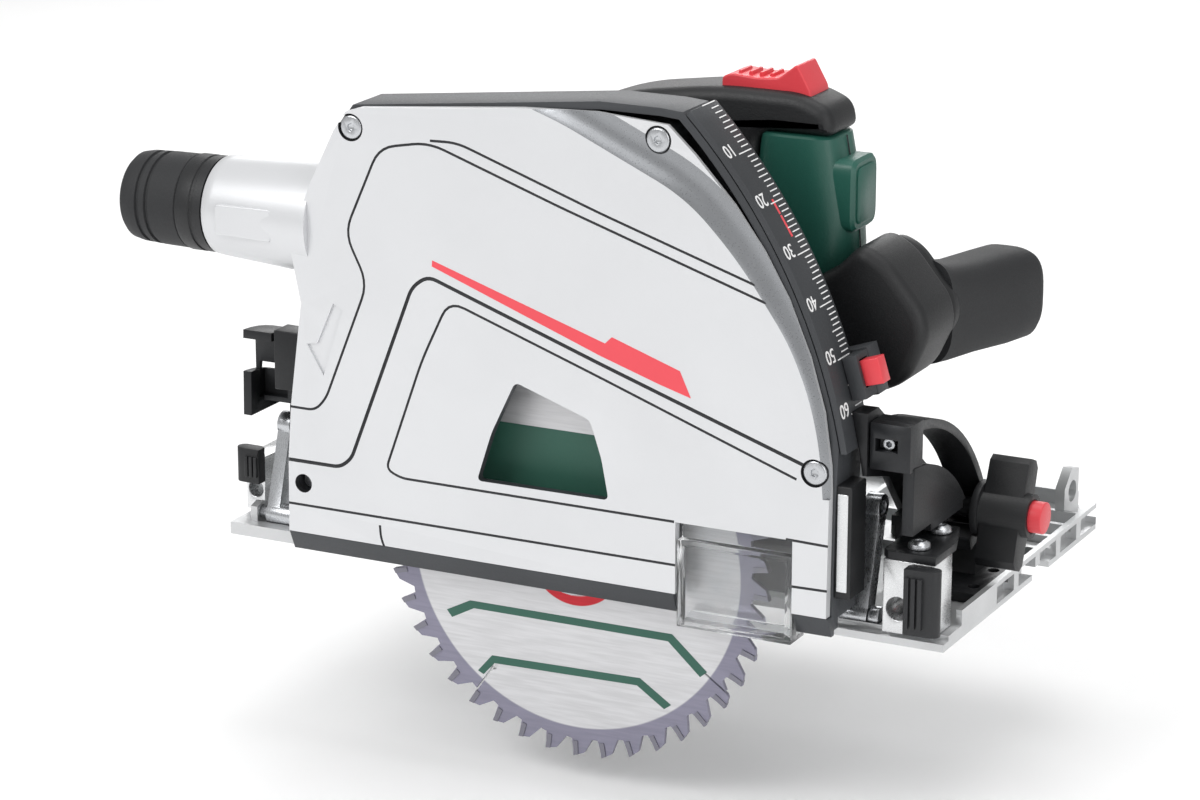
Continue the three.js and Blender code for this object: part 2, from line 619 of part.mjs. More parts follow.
function fan() {
  const hub = ring('y', ROTOR, 3.6, 9, 44, 55, 24);
  const disc = ring('y', ROTOR, 8, 33, 44, 46, 32);
  const vane = plate('y', [[8, -0.8], [32, 3], [32, 4.6], [8, 0.8]], 45, 54);
  const turns = Array.from({ length: 9 }, (_, i) => 40 * i);
  const vanes = turns.map((turn) => vane.rotate([0, turn, 0]).translate([ROTOR[0], 0, ROTOR[1]]));
  return join(hub, disc, ...vanes);
}
piece('cooling_fan', fan(), 'black');
piece('stator', ring('y', ROTOR, 17.8, 37.6, 62, 110), 'copper');

// ---------------------------------------------------------------- gear case

// Hull of circles: an outline that wraps two circles, as tangent arcs.
function capsule(a, ra, b, rb, steps = 12) {
  const along = Math.atan2(b[1] - a[1], b[0] - a[0]) * DEGREE;
  const lean = Math.acos((ra - rb) / Math.hypot(b[0] - a[0], b[1] - a[1])) * DEGREE;
  const end = arc(b, rb, along - lean, along + lean, steps);
  return [...end, ...arc(a, ra, along + lean, along + 360 - lean, steps)];
}
const CASE_Y = [12.6, 38];
const caseShape = (shrink, from, to) => join(
  plate('y', capsule(ARBOR, NECK_R - shrink, IDLER, 20 - shrink), from, to),
  plate('y', capsule(IDLER, 20 - shrink, ROTOR, 24 - shrink), from, to),
);
const plungeArm = plate('y', capsule(PIVOT, 12, ARBOR, NECK_R), CASE_Y[0], 19);
const gearCase = cut(
  join(caseShape(0, ...CASE_Y), plungeArm, rod('y', ARBOR, NECK_R, 3.9, 14)),
  caseShape(1.9, 16, CASE_Y[1] + 1),
  rod('y', ARBOR, 12.6, 4.4, 13), rod('y', ARBOR, 7, 3, 18), rod('y', ARBOR, 8.6, 3, 5),
  rod('y', PIVOT, 3.5, 10, 22, 20), rod('y', [-34, 22], 5.4, 15, 22, 20),
);
piece('gear_case', gearCase, 'anthracite');
piece('pivot_pin', join(rod('y', PIVOT, 3.1, -10.5, 20, 20), rod('y', PIVOT, 6, 19.4, 22, 20)), 'steel');
piece('spindle_lock', join(rod('y', [-34, 22], 5, 19.2, 27, 20)), 'red');

// ---------------------------------------------------------------- motor and handle

const [HY0, HY1] = HANDLE_Y;
const web = [
  [0, 92], [50, 62], [88, 84], [88, 128], [93, 132], [93, 179], [70, 179], [70, 150], [44, 116], [4, 104],
];
const trigger = { x: [26, 56], z: [155, 168] };
const inMotor = rod('y', ROTOR, MOTOR_R - 3.4, MOTOR_Y[0] - 1, MOTOR_Y[1] + 1, 40);
piece('motor_housing', cut(
  join(rod('y', ROTOR, MOTOR_R, ...MOTOR_Y, 40), plate('y', web, HY0, HY1, 3)), inMotor,
), 'green');

function motorCap() {
  const [x, z] = ROTOR;
  const face = MOTOR_Y[1] + GAP;
  const end = face + 16;
  const profile = [[0, face], [MOTOR_R, face], [MOTOR_R, face + 9], [MOTOR_R - 6, end], [0, end]];
  const slits = [-23, -16, -9, -2, 5].map((low) => box([x - 22, x + 22], [face + 12, end + 4], [z + low, z + low + 3]));
  return cut(turned('y', ROTOR, profile, 40), ...slits, rod('y', [x, z + 24], 8.4, face + 11, end + 4, 24));
}
piece('motor_cap', motorCap(), 'black');
piece('speed_wheel', cut(
  rod('y', [ROTOR[0], ROTOR[1] + 24], 8, MOTOR_Y[1] + 11.6, MOTOR_Y[1] + 18, 20),
  box([ROTOR[0] - 1, ROTOR[0] + 1], [MOTOR_Y[1] + 17, MOTOR_Y[1] + 20], [ROTOR[1] + 24, ROTOR[1] + 34]),
), 'red');

const handleOutside = [
  [92, 179.4], [91, 187], [77, 194], [72, 200], [35, 199], [-3, 191], [-40, 176], [-62, 148], [-66, 112],
  [-56, 86],
];
const handleInside = [
  [-31, 66], [-28, 84], [-14, 98], [-12, 104], [-36, 110], [-38, 130], [-26, 146], [0, 156], [40, 160],
  [69.6, 158], [69.6, 179.4],
];
const slider = { x: [38, 69], z: [195, 207] };
piece('handle', cut(
  plate('y', [...handleOutside, ...handleInside], HY0, HY1, 4),
  rod('y', ROTOR, MOTOR_R + GAP, 30, 90, 40),
  box([trigger.x[0] - 0.4, trigger.x[1] + 0.4], [52, 68], [140, 174]),
  box([slider.x[0] - 7, slider.x[1] + 0.4], [51, 69], [slider.z[0] - 0.4, 220]),
), 'black');
const triggerShape = [[26, 168], [26, 154], [36, 151], [48, 152], [56, 150], [56, 168]];
piece('trigger', plate('y', triggerShape, 52.4, 67.6), 'black');
const sliderShape = [[38, 195], [69, 195], [66, 204], [61, 207], [50, 202], [38, 201]];
piece('release_slider', plate('y', sliderShape, 51.4, 68.6), 'red');
piece('label_plate', plate('x', [[51, 145], [69, 145], [69, 168], [51, 168]], 93.3, 95.4, 0.6), 'green');

const frontBody = [
  [88.4, 88], [113, 84.5], [136, 96], [140, 114], [136, 125], [117, 145], [103, 144], [94, 131], [88.4, 127],
];
piece('front_body', plate('y', frontBody, 34, HY1, 3), 'black');

// Front grip: rings of a tapering oval section, closed at both ends.
function frontGrip() {
  const stations = [
    [74.3, 117, 108, 19, 21], [82, 119, 109, 15, 18], [104, 123, 111, 14.5, 17.5],
    [122, 126, 112, 15.5, 19], [130, 127, 112, 12, 15], [132, 127, 112, 8, 10],
  ];
  const sides = 24;
  const vertices = [];
  for (const [y, x, z, rx, rz] of stations) {
    for (let i = 0; i < sides; i += 1) {
      const a = 2 * Math.PI * i / sides;
      vertices.push(x + rx * Math.cos(a), y, z + rz * Math.sin(a));
    }
  }
  const index = [];
  for (let s = 0; s < stations.length - 1; s += 1) {
    for (let i = 0; i < sides; i += 1) {
      const [a, b] = [s * sides + i, s * sides + (i + 1) % sides];
      index.push(a, b, b + sides, a, b + sides, a + sides);
    }
  }
  const last = (stations.length - 1) * sides;
  for (let i = 1; i < sides - 1; i += 1) {
    index.push(0, i + 1, i);
    index.push(last, last + i, last + i + 1);
  }
  const geometry = new THREE.BufferGeometry();
  geometry.setAttribute('position', new THREE.Float32BufferAttribute(vertices, 3));
  geometry.setIndex(index);
  return solid(geometry);
}
piece('front_grip', frontGrip(), 'rubber');
piece('cord_gland', cut(
  turned('x', [60, 128], [[0, -94], [5.4, -94], [6.4, -76], [8.5, -74], [8.5, -65.7], [0, -65.7]], 20),
  rod('x', [60, 128], 3.6, -96, -70, 16),
), 'rubber');

export default saw;
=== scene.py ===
"""Looks for the track plunge saw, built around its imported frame. Lengths are in metres."""

import json
import math

import bmesh
import bpy
from mathutils import Matrix, Vector
from mathutils.geometry import tessellate_polygon

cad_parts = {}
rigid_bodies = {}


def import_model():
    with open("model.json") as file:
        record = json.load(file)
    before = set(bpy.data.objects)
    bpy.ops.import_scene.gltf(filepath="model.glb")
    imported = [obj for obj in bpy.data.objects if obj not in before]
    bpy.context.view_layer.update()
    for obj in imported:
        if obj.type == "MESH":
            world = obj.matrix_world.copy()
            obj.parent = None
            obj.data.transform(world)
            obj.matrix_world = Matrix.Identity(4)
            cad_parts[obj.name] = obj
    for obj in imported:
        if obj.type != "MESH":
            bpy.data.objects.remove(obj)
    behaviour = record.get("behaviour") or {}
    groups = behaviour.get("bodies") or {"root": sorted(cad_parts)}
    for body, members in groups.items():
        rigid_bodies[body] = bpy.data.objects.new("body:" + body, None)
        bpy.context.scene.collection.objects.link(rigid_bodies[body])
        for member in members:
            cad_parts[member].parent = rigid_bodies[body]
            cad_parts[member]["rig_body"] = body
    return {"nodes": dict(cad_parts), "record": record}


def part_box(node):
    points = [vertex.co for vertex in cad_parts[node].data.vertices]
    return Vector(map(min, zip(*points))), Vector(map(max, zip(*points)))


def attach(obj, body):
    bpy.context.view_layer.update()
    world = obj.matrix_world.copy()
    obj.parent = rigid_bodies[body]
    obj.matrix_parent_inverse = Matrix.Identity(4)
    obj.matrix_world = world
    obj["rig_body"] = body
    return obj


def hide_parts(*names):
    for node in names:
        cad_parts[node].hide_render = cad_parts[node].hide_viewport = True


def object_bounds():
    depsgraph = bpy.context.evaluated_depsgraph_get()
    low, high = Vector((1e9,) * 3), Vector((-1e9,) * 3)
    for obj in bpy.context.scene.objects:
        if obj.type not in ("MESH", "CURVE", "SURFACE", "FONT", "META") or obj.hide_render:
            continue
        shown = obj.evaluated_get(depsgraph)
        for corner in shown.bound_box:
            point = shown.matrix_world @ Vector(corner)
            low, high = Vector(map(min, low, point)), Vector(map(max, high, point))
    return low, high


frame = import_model()
CAD_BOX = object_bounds()

MM = 0.001
X, Y, Z = (1, 0, 0), (0, 1, 0), (0, 0, 1)
BLADE_Y = -0.060                     # the blade's plane in the row's frame
ARBOR = Vector((0.0, BLADE_Y, 0.0165))
PIVOT = Vector((-0.112, BLADE_Y, 0.0337))
COVER_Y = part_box("guard_cover")[0].y
COVER_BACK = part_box("guard_cover")[1].y
SCALE_R = 0.2335
BODY_OF = {n: o["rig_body"] for n, o in frame["nodes"].items()}
SLOT_OF = {s["node"]: s["material_slot"] for s in frame["record"]["subparts"]}


def at(x, y, z):
    """A point from millimetres, with y counted from the blade's plane."""
    return Vector((x * MM, BLADE_Y + y * MM, z * MM))


# ------------------------------------------------------------------ camera

def add_camera():
    azimuth, elevation, roll = (math.radians(v) for v in (26.77, 16.51, 0.05))
    back = Vector((
        math.sin(azimuth) * math.cos(elevation),
        -math.cos(azimuth) * math.cos(elevation),
        math.sin(elevation),
    ))
    right = Vector((math.cos(azimuth), math.sin(azimuth), 0))
    up = back.cross(right)
    data = bpy.data.cameras.new("camera")
    data.lens = 119.84
    data.sensor_width = 36
    camera = bpy.data.objects.new("camera", data)
    bpy.context.scene.collection.objects.link(camera)
    turn = Matrix((right, up, back)).transposed() @ Matrix.Rotation(roll, 3, "Z")
    camera.matrix_world = Matrix.Translation(at(665.2, -1298.2, 511.0)) @ turn.to_4x4()
    bpy.context.scene.camera = camera


# ------------------------------------------------------------------ materials

def linear(hex_colour):
    values = [int(hex_colour[i:i + 2], 16) / 255 for i in (0, 2, 4)]
    return [v / 12.92 if v <= 0.04045 else ((v + 0.055) / 1.055) ** 2.4 for v in values] + [1.0]


class Graph:
    """A material's node tree, with short calls to add nodes and links."""

    def __init__(self, name):
        self.material = bpy.data.materials.new(name)
        self.material.use_nodes = True
        self.tree = self.material.node_tree
        self.shader = self.tree.nodes["Principled BSDF"]

    def node(self, kind, **values):
        made = self.tree.nodes.new(kind)
        for key, value in values.items():
            setattr(made, key, value)
        return made

    def link(self, source, target):
        self.tree.links.new(source, target)

    def noise(self, scale, detail=3, stretch=(1, 1, 1)):
        place = self.node("ShaderNodeTexCoord")
        mapping = self.node("ShaderNodeMapping")
        mapping.inputs["Scale"].default_value = stretch
        noise = self.node("ShaderNodeTexNoise")
        noise.inputs["Scale"].default_value = scale
        noise.inputs["Detail"].default_value = detail
        self.link(place.outputs["Object"], mapping.inputs["Vector"])
        self.link(mapping.outputs["Vector"], noise.inputs["Vector"])
        return noise.outputs["Fac"]

    def ramp(self, value, stops):
        ramp = self.node("ShaderNodeValToRGB")
        elements = ramp.color_ramp.elements
        while len(elements) < len(stops):
            elements.new(0.5)
        for element, (place, colour) in zip(elements, stops):
            element.position = place
            element.color = colour
        self.link(value, ramp.inputs["Fac"])
        return ramp.outputs["Color"]

    def remap(self, value, low, high, new_low, new_high):
        remap = self.node("ShaderNodeMapRange")
        for name, number in zip(("From Min", "From Max", "To Min", "To Max"), (low, high, new_low, new_high)):
            remap.inputs[name].default_value = number
        self.link(value, remap.inputs["Value"])
        return remap.outputs["Result"]

    def mix(self, factor, a, b):
        mix = self.node("ShaderNodeMix", data_type="RGBA")
        for socket, value in ((mix.inputs["Factor"], factor), (mix.inputs["A"], a), (mix.inputs["B"], b)):
            if isinstance(value, bpy.types.NodeSocket):
                self.link(value, socket)
            else:
                socket.default_value = value
        return mix.outputs["Result"]

    def bump(self, height, strength, distance):
        bump = self.node("ShaderNodeBump")
        bump.inputs["Strength"].default_value = strength
        bump.inputs["Distance"].default_value = distance
        self.link(height, bump.inputs["Height"])
        self.link(bump.outputs["Normal"], self.shader.inputs["Normal"])


def shade(colour, factor):
    return [min(1.0, c * factor) for c in colour[:3]] + [1.0]


def finish_of(name, colour, rough, metal=0.0, grain=900, depth=0.12, worn=1.6, coat=0.0, stretch=(1, 1, 1),
              cloud=0.1):
    """A moulded or coated surface: cloudy colour, uneven gloss, fine grain and edges worn lighter."""
    graph = Graph(name)
    base = linear(colour)
    clouds = graph.noise(22, 4)
    tone = graph.ramp(clouds, [(0.3, shade(base, 1 - cloud)), (0.7, shade(base, 1 + cloud))])
    edges = graph.node("ShaderNodeNewGeometry").outputs["Pointiness"]
    wear = graph.remap(edges, 0.54, 0.62, 0.0, 0.55)
    graph.link(graph.mix(wear, tone, shade(base, worn)), graph.shader.inputs["Base Color"])
    fine = graph.noise(grain, 4, stretch)
    graph.link(graph.remap(fine, 0.3, 0.7, rough - 0.05, rough + 0.07), graph.shader.inputs["Roughness"])
    graph.bump(fine, depth, 0.0004)
    graph.shader.inputs["Metallic"].default_value = metal
    graph.shader.inputs["Coat Weight"].default_value = coat
    graph.shader.inputs["Coat Roughness"].default_value = 0.25
    return graph.material


def blade_finish():
    """A ground disc with a tinted rim and a printed ring, coloured by the distance from the arbor."""
    graph = Graph("blade_steel")
    place = graph.node("ShaderNodeTexCoord")
    split = graph.node("ShaderNodeVectorMath", operation="SUBTRACT")
    split.inputs[1].default_value = ARBOR
    flat = graph.node("ShaderNodeVectorMath", operation="MULTIPLY")
    flat.inputs[1].default_value = (1, 0, 1)
    length = graph.node("ShaderNodeVectorMath", operation="LENGTH")
    graph.link(place.outputs["Object"], split.inputs[0])
    graph.link(split.outputs[0], flat.inputs[0])
    graph.link(flat.outputs[0], length.inputs[0])
    share = graph.remap(length.outputs["Value"], 0, 0.0825, 0, 1)
    steel, red, rim = linear("d4d4d6"), linear("c8303a"), linear("8d8b9c")
    zones = graph.ramp(share, [
        (0.0, steel), (0.198, steel), (0.2, red), (0.248, red),
        (0.25, steel), (0.853, steel), (0.857, rim), (1.0, rim),
    ])
    fine = graph.noise(60, 6, (1, 1, 14))
    streaks = graph.ramp(fine, [(0.35, (0.86, 0.86, 0.86, 1)), (0.65, (1, 1, 1, 1))])
    tinted = graph.node("ShaderNodeMix", data_type="RGBA", blend_type="MULTIPLY")
    tinted.inputs["Factor"].default_value = 1.0
    graph.link(zones, tinted.inputs["A"])
    graph.link(streaks, tinted.inputs["B"])
    graph.link(tinted.outputs["Result"], graph.shader.inputs["Base Color"])
    graph.link(graph.remap(fine, 0.3, 0.7, 0.34, 0.48), graph.shader.inputs["Roughness"])
    graph.bump(fine, 0.08, 0.0003)
    graph.shader.inputs["Metallic"].default_value = 0.55
    return graph.material


def clear_finish():
    graph = Graph("clear")
    haze = graph.noise(140, 4)
    tint = graph.ramp(haze, [(0.3, (0.93, 0.95, 0.96, 1)), (0.7, (1, 1, 1, 1))])
    graph.link(tint, graph.shader.inputs["Base Color"])
    graph.link(graph.remap(haze, 0.3, 0.7, 0.03, 0.1), graph.shader.inputs["Roughness"])
    graph.bump(haze, 0.05, 0.0003)
    graph.shader.inputs["Transmission Weight"].default_value = 0.96
    graph.shader.inputs["IOR"].default_value = 1.3
    return graph.material


MATERIALS = {
    "silver": finish_of("silver", "d4d5d7", 0.36, 0.3, 1400, 0.05, 1.05, 0.1, cloud=0.02),
    "anthracite": finish_of("anthracite", "3b3d40", 0.50, 0.2, 1500, 0.16, 1.7),
    "black": finish_of("black", "17181a", 0.50, 0.0, 1700, 0.2, 1.9),
    "black_metal": finish_of("black_metal", "191a1c", 0.42, 0.25, 1300, 0.14, 2.4),
    "rubber": finish_of("rubber", "222325", 0.66, 0.0, 2300, 0.32, 1.6),
    "green": finish_of("green", "20564a", 0.42, 0.0, 1500, 0.16, 1.5, 0.1),
    "red": finish_of("red", "dc3f48", 0.42, 0.0, 1600, 0.12, 1.25, 0.1),
    "casting": finish_of("casting", "c9cacb", 0.42, 0.75, 1200, 0.18, 1.1),
    "clamp_metal": finish_of("clamp_metal", "d9dadb", 0.28, 0.9, 500, 0.08, 1.1, 0, (1, 1, 12)),
    "steel": finish_of("steel", "c0c2c5", 0.28, 0.95, 700, 0.08, 1.15, 0, (8, 1, 1)),
    "blade_steel": blade_finish(),
    "copper": finish_of("copper", "9a5a34", 0.4, 0.7, 300, 0.3, 1.2, 0, (1, 12, 1)),
    "clear": clear_finish(),
}
WHITE = finish_of("scale_white", "f2f2f2", 0.5, 0.0, 900, 0.04, 1.0)
PRINT_GREEN = finish_of("print_green", "2c5a4c", 0.5, 0.0, 900, 0.04, 1.1)
PRINT_RED = finish_of("print_red", "e04a54", 0.5, 0.0, 900, 0.04, 1.1)
# Painted shade: a near-black given to the walls of the cover's grooves, pivot hole, screw holes and screw
# recesses, where the silver cover is shaded. The column's seam line takes it too, as the dark joint between the
# column's halves.
GROOVE_SHADE_AND_SEAM = finish_of("groove_shade_and_seam", "26272a", 0.6, 0.0, 900, 0.05, 1.0)
# Painted dark reflection and shade: a darker, glossier grey for the faces of the concave cove along the cover's
# edge, standing in for the dark reflection and shade the silver cover shows there.
COVE_PAINTED_REFLECTION = finish_of("cove_painted_reflection", "8f9194", 0.3, 0.6, 1400, 0.05, 1.05)


# ------------------------------------------------------------------ mesh helpers

def add_object(name, mesh):
    made = bpy.data.objects.new(name, mesh)
    bpy.context.scene.collection.objects.link(made)
    return made


def apply_modifiers(piece):
    graph = bpy.context.evaluated_depsgraph_get()
    evaluated = bpy.data.meshes.new_from_object(piece.evaluated_get(graph))
    piece.modifiers.clear()
    piece.data = evaluated


def smooth(piece, degrees=32):
    mesh = piece.data
    mesh.shade_smooth()
    mesh.set_sharp_from_angle(angle=math.radians(degrees))


def from_faces(name, points, faces):
    mesh = bpy.data.meshes.new(name)
    mesh.from_pydata([tuple(p) for p in points], [], faces)
    mesh.update()
    return add_object(name, mesh)


def fix_normals(piece):
    """Splits faces of many sides and turns every face outward."""
    work = bmesh.new()
    work.from_mesh(piece.data)
    many = [face for face in work.faces if len(face.verts) > 4]
    bmesh.ops.triangulate(work, faces=many, ngon_method="EAR_CLIP")
    bmesh.ops.recalc_face_normals(work, faces=work.faces)
    work.to_mesh(piece.data)
    work.free()


def prism(name, outline, near, far):
    """A solid from an outline in x and z (millimetres), between two y planes (metres)."""
    count = len(outline)
    points = [Vector((x * MM, y, z * MM)) for y in (near, far) for x, z in outline]
    sides = [(i, (i + 1) % count, (i + 1) % count + count, i + count) for i in range(count)]
    caps = [tuple(range(count)), tuple(range(2 * count - 1, count - 1, -1))]
    made = from_faces(name, points, sides + caps)
    fix_normals(made)
    return made


def rounded(points, radius, closed=False, steps=5):
    """A polyline with its corners rounded."""
    count = len(points)
    corners = range(count) if closed else range(1, count - 1)
    result = [] if closed else [Vector(points[0])]
    for i in corners:
        before, corner, after = (Vector(points[j % count]) for j in (i - 1, i, i + 1))
        reach = min(radius, (before - corner).length * 0.45, (after - corner).length * 0.45)
        start = corner + (before - corner).normalized() * reach
        end = corner + (after - corner).normalized() * reach
        for s in range(steps + 1):
            t = s / steps
            result.append(start * (1 - t) ** 2 + corner * 2 * t * (1 - t) + end * t ** 2)
    if not closed:
        result.append(Vector(points[-1]))
    return result


def sweep(name, path, radius, sides=10):
    """A round bar with closed ends, along a path of points in metres that keeps to one y plane."""
    last = len(path) - 1
    points, faces = [], []
    for i, place in enumerate(path):
        into = place - path[max(i - 1, 0)]
        out = path[min(i + 1, last)] - place
        inside = into.length and out.length
        along = into.normalized() + out.normalized() if inside else into + out
        along.normalize()
        across = along.cross(Vector((0, 1, 0)))
        widen = 1 / max(into.normalized().dot(along), 0.5) if inside else 1.0
        for s in range(sides):
            angle = 2 * math.pi * s / sides
            lift = Vector((0, radius * math.sin(angle), 0))
            points.append(place + across * (radius * math.cos(angle) * widen) + lift)
    for i in range(last):
        a, b = i * sides, (i + 1) * sides
        faces += [(a + s, a + (s + 1) % sides, b + (s + 1) % sides, b + s) for s in range(sides)]
    total = len(points)
    faces += [tuple(range(sides)), tuple(range(total - 1, total - sides - 1, -1))]
    made = from_faces(name, points, faces)
    fix_normals(made)
    return made


def carve(piece, cutters):
    """Takes the cutters' shapes out of the piece, one by one, and their materials with them."""
    for cutter in cutters:
        modifier = piece.modifiers.new("cut", "BOOLEAN")
        modifier.operation = "DIFFERENCE"
        modifier.solver = "EXACT"
        modifier.material_mode = "TRANSFER"
        modifier.object = cutter
        apply_modifiers(piece)
        if not piece.data.polygons:
            raise ValueError(cutter.name + " leaves nothing of " + piece.name)
        bpy.data.objects.remove(cutter)


def loft(name, rings, cap=None):
    """A closed skin through rings of points, all with the same count; cap lists an end's triangles."""
    size = len(rings[0])
    points = [p for ring in rings for p in ring]
    faces = []
    for i in range(len(rings) - 1):
        a, b = i * size, (i + 1) * size
        faces += [(a + s, a + (s + 1) % size, b + (s + 1) % size, b + s) for s in range(size)]
    cap = cap or [tuple(range(size))]
    last = len(points) - size
    faces += [tuple(face) for face in cap] + [tuple(last + i for i in reversed(face)) for face in cap]
    made = from_faces(name, points, faces)
    fix_normals(made)
    return made


def oval(centre, u, v, reach_u, reach_v, power=2.6, count=48):
    """A ring between an ellipse and a rectangle, in the plane of u and v (millimetres)."""
    ring = []
    for i in range(count):
        a = 2 * math.pi * i / count
        c, s = math.cos(a), math.sin(a)
        along = math.copysign(abs(c) ** (2 / power), c) * reach_u
        across = math.copysign(abs(s) ** (2 / power), s) * reach_v
        ring.append(at(*centre) + (Vector(u) * along + Vector(v) * across) * MM)
    return ring


def soft_plate(name, outline, near, far, soft, corner, steps=5):
    """A plate from an outline in x and z, its corners and both faces' edges rounded over (millimetres)."""
    flat = [Vector((p.x, p.y)) for p in rounded([(*p, 0) for p in outline], corner, True, 6)]
    count = len(flat)
    area = sum(flat[i - 1].cross(flat[i]) for i in range(count))
    inward = []
    for i in range(count):
        along = (flat[(i + 1) % count] - flat[i - 1]).normalized()
        inward.append(Vector((-along.y, along.x)) * math.copysign(1, area))
    rows = []
    for k in range(steps + 1):
        a = math.pi / 2 * k / steps
        rows.append((near + soft * (1 - math.sin(a)), soft * (1 - math.cos(a))))
    rows = [(y, shrink) for y, shrink in reversed(rows)]
    rows += [(near + far - y, shrink) for y, shrink in reversed(rows)]
    rings = [
        [at(p.x + n.x * shrink, y, p.y + n.y * shrink) for p, n in zip(flat, inward)]
        for y, shrink in rows
    ]
    return loft(name, rings, tessellate_polygon([[p.to_3d() for p in flat]]))


def lathe(name, centre, profile, sides=72):
    """A turned shape about an axis along x, from (x, radius) pairs in millimetres."""
    y, z = centre
    return loft(name, [oval((x, y, z), Y, Z, r, r, 2, sides) for x, r in profile])


def paint(piece, material):
    piece.data.materials.clear()
    piece.data.materials.append(material)
    return piece


def fit(piece, body, slot_name, *nodes):
    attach(piece, body)
    if nodes:
        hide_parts(*nodes)
    return piece


def tidy_copy(node):
    """A copy of a node's mesh with its flat triangles joined into whole faces."""
    source = frame["nodes"][node]
    made = add_object(node + "_fine", source.data.copy())
    work = bmesh.new()
    work.from_mesh(made.data)
    bmesh.ops.remove_doubles(work, verts=work.verts, dist=0.00001)
    bmesh.ops.dissolve_limit(work, angle_limit=math.radians(1.2), verts=work.verts, edges=work.edges)
    work.to_mesh(made.data)
    work.free()
    return made


def refine(node, width=0.5, segments=2, material=None, angle=28):
    """Stands a rounded-edge copy in for a CAD node, with its slot's material."""
    made = tidy_copy(node)
    bevel = made.modifiers.new("edges", "BEVEL")
    bevel.width = width * MM
    bevel.segments = segments
    bevel.limit_method = "ANGLE"
    bevel.angle_limit = math.radians(angle)
    bevel.use_clamp_overlap = True
    bevel.harden_normals = False
    apply_modifiers(made)
    paint(made, material or MATERIALS[SLOT_OF[node]])
    smooth(made, 38)
    return fit(made, BODY_OF[node], SLOT_OF[node], node)


# ------------------------------------------------------------------ guard cover

COVER = [
    (-119, 13.3), (-118.6, 43), (-117, 65), (-111.5, 107), (-116.4, 131), (-106, 156), (-95.5, 177),
    (-90, 185), (-84, 187), (-15, 193.6), (16, 195), (45, 193), (56, 183), (72, 166), (84, 150), (94, 133),
    (103, 112), (109, 92), (112, 72), (112.4, 62), (112, 13.3),
    (98, 13.3), (98, 41.8), (50, 41.8), (50, 13.3),
]
COVE = [
    (-12, 203), (5, 197.4), (58.4, 173.6), (81.5, 150.5),
    (102.9, 120.4), (111.8, 99.3), (116.4, 79.5), (118, 60),
]
SIGHT = [(-34.5, 46), (-28, 66), (-17.7, 87.5), (14.1, 76.8), (19, 62), (22, 46.3)]
GROOVES = {
    "rear_panel": [
        (-121, 64.6), (-106, 64.5), (-101, 70), (-81.6, 118.5), (-91.2, 137.5),
        (-75.6, 172.5), (-54, 176.6), (1.6, 157.8), (96.3, 127.9),
    ],
    "top_line": [(-53.4, 177.4), (-41.9, 177.8), (18.3, 157.3), (92.8, 133.9)],
    "inner_panel": [
        (99.3, 65.7), (18.3, 94.1), (-46, 116), (-58, 91), (-74.5, 45), (-68, 42.2), (49.5, 41.9),
    ],
    "right_line": [(95.4, 42), (114, 41.6)],
    "low_line": [(-121, 24.8), (51, 24.8)],
    "low_right_line": [(97.3, 23.9), (114, 24.2)],
    "notch": [(-77.7, 21.5), (-77.3, 16.2), (-75, 11)],
}
THICK_GROOVE = [(-121, 42.8), (-95.2, 42.8), (-90, 47), (-62, 119.5), (-55, 124.5), (18.3, 99.4), (102, 71.6)]
ARROW = [(-97, 108.7), (-92.8, 106.3), (-101.9, 79), (-109.1, 91), (-104.5, 91.8)]
STRIPE = [
    (-53, 131), (20.4, 107.6), (23.3, 110.4), (51.5, 100.9),
    (56.1, 91), (43.3, 94.6), (18.3, 102.6), (-53.2, 128.6),
]
SCREWS = [(-88, 179), (41, 187), (106.3, 69)]


def groove_cutter(name, points, radius, corner=7):
    path = rounded([(*p, 0) for p in points], corner)
    track = [Vector((p.x * MM, COVER_Y - radius * 0.25, p.y * MM)) for p in path]
    # The cut groove's walls take this painted shade.
    return paint(sweep(name, track, radius), GROOVE_SHADE_AND_SEAM)


def disc(name, centre, radius, near, far, sides=32):
    x, z = centre
    angles = [2 * math.pi * i / sides for i in range(sides)]
    outline = [(x + radius * math.cos(a), z + radius * math.sin(a)) for a in angles]
    return prism(name, outline, near, far)


